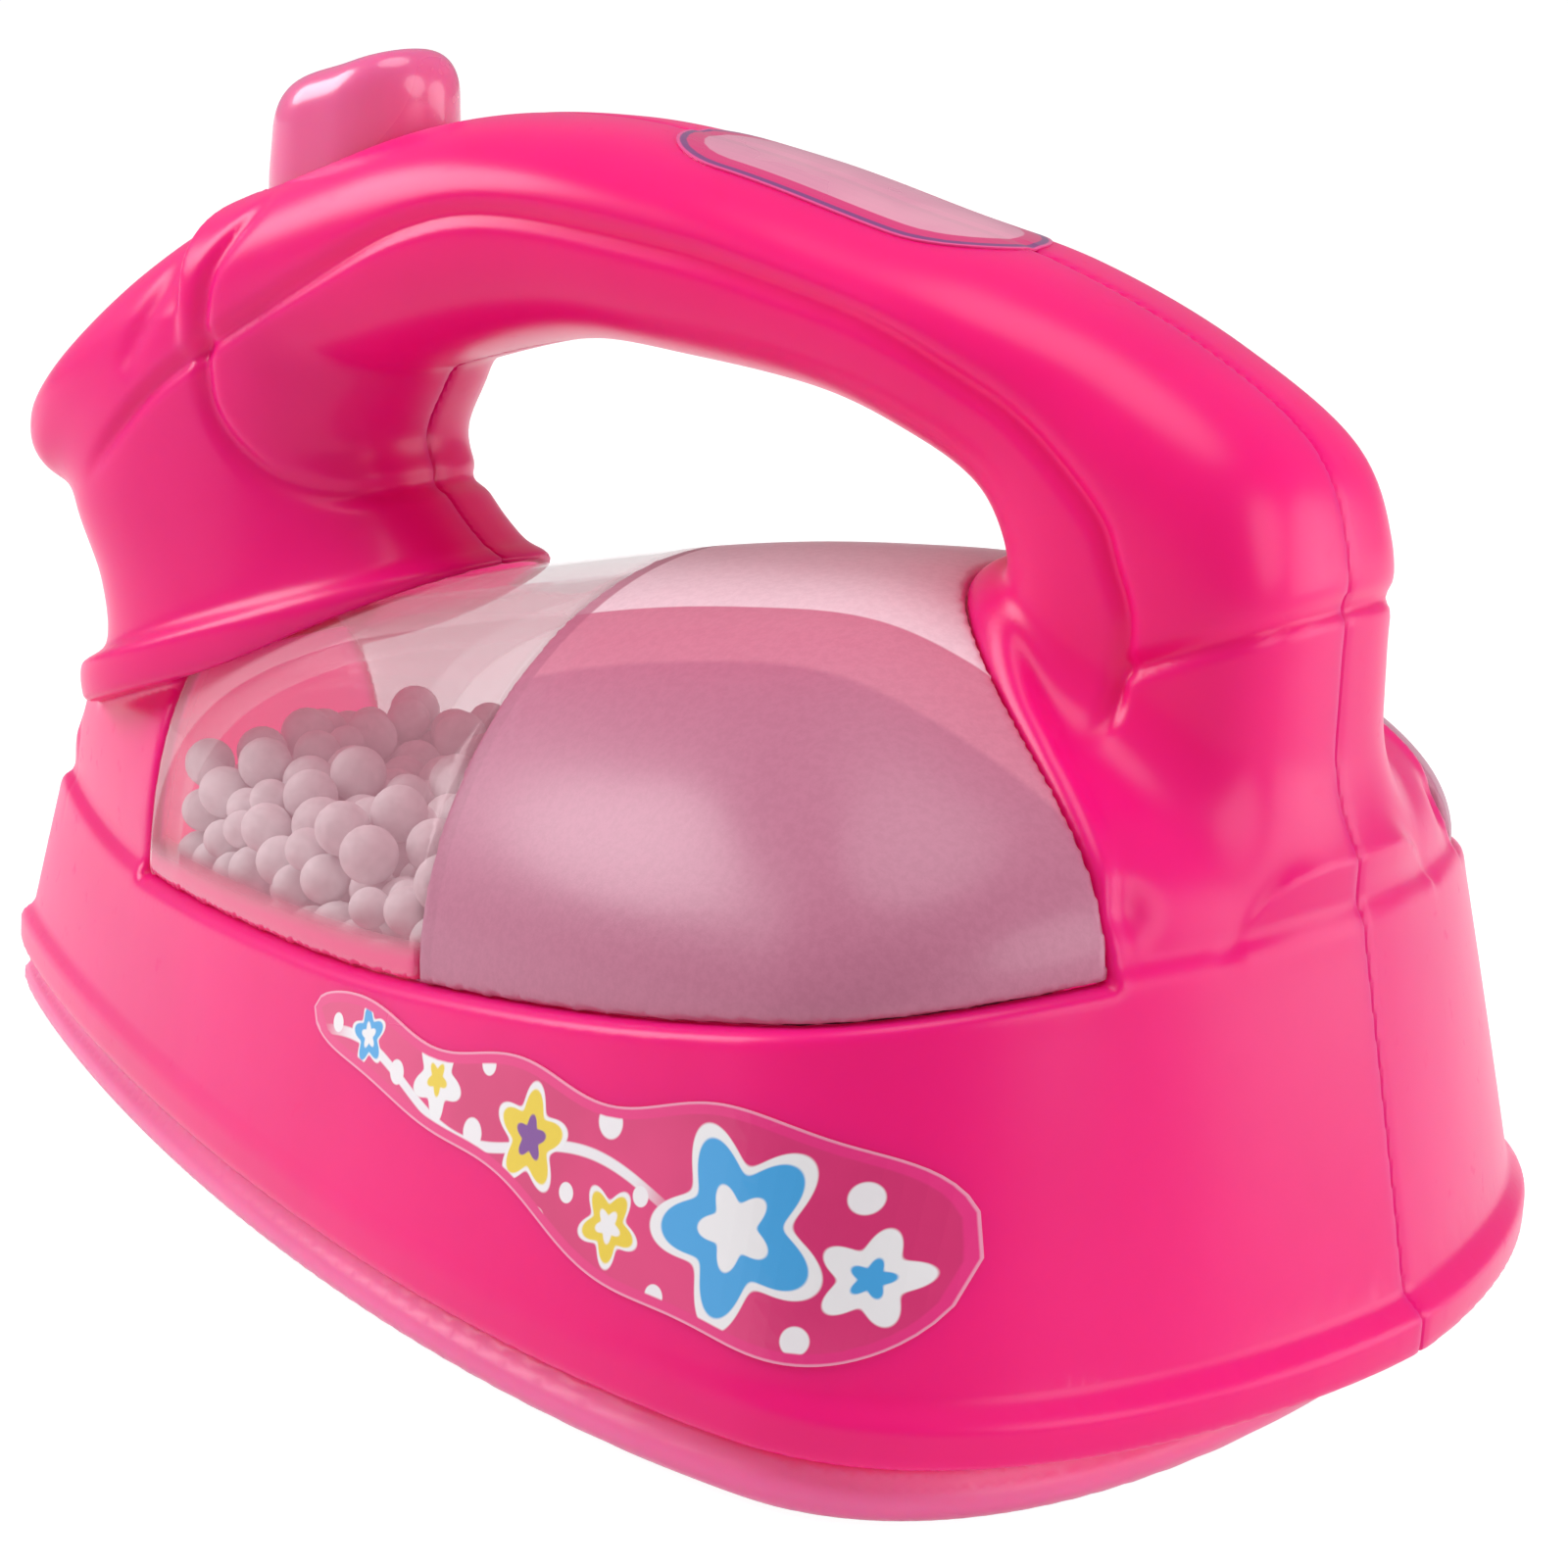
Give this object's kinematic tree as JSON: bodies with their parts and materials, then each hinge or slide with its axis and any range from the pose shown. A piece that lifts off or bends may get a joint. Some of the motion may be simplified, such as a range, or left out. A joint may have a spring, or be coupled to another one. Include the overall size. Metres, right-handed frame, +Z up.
{
  "type": "toy iron",
  "caption": "Pretend-play iron with a loop handle, a clear bead window, a frosted lamp cover, a push button on the handle and a battery door in its flat sole.",
  "frame": {"origin": "centre of the footprint on the floor, under the middle of the band", "axes": "+X from nose to heel, +Y to the right-hand side seen from above with the nose to the left, +Z up"},
  "size_m": [0.151, 0.0994, 0.0935],
  "materials": {
    "pink_gloss": "glossy moulded hot-pink plastic",
    "clear_window": "clear moulded plastic",
    "frosted_cover": "frosted translucent pink plastic",
    "white_foam": "white expanded foam",
    "sole_pink": "paler pink moulded plastic",
    "button_pink": "pale pink moulded plastic",
    "bright_steel": "bright zinc-plated steel",
    "cell_wrap": null,
    "black_plastic": "black switch plastic",
    "white_plastic": "white motor end cap",
    "board_green": "plain circuit board",
    "lamp_lens": "clear lamp lens",
    "red_insulation": "wire insulation",
    "black_insulation": "wire insulation",
    "yellow_insulation": "wire insulation",
    "side_film": null,
    "handle_film": "printed film, bare panel"
  },
  "bodies": {
    "case": {"left_housing": "pink_gloss", "right_housing": "pink_gloss", "front_window": "clear_window", "lamp_cover": "frosted_cover", "bead_tray": "pink_gloss", "foam_beads": "white_foam", "sole_plate": "sole_pink", "battery_cells": "cell_wrap", "contact_springs": "bright_steel", "contact_plates": "bright_steel", "button_spring": "bright_steel", "switch_body": "black_plastic", "switch_board": "board_green", "motor_can": "bright_steel", "motor_end_cap": "white_plastic", "lamp_board": "board_green", "lamp": "lamp_lens", "housing_screws": "bright_steel", "sole_screws": "bright_steel", "red_wire": "red_insulation", "black_wire": "black_insulation", "motor_wire": "yellow_insulation", "left_sticker": "side_film", "right_sticker": "side_film", "handle_sticker": "handle_film"},
    "button": {"switch_button": "button_pink", "switch_plunger": "black_plastic"},
    "rotor": {"motor_shaft": "bright_steel", "bead_paddle": "pink_gloss"},
    "door": {"battery_door": "sole_pink", "door_screw": "bright_steel"}
  },
  "joints": [
    {"name": "button_press", "type": "slide", "parent": "case", "child": "button", "axis": [0, 0, -1], "range_m": [0, 0.0025], "stiffness_N_per_m": 300, "springref_m": -0.002, "deforming": ["button_spring"]},
    {"name": "paddle_spin", "type": "hinge", "parent": "case", "child": "rotor", "pos_m": [-0.022, 0, 0.02], "axis": [0, 0, 1], "continuous": true},
    {"name": "door_off", "type": "slide", "parent": "case", "child": "door", "axis": [0, 0, -1], "range_m": [0, 0.03]}
  ]
}
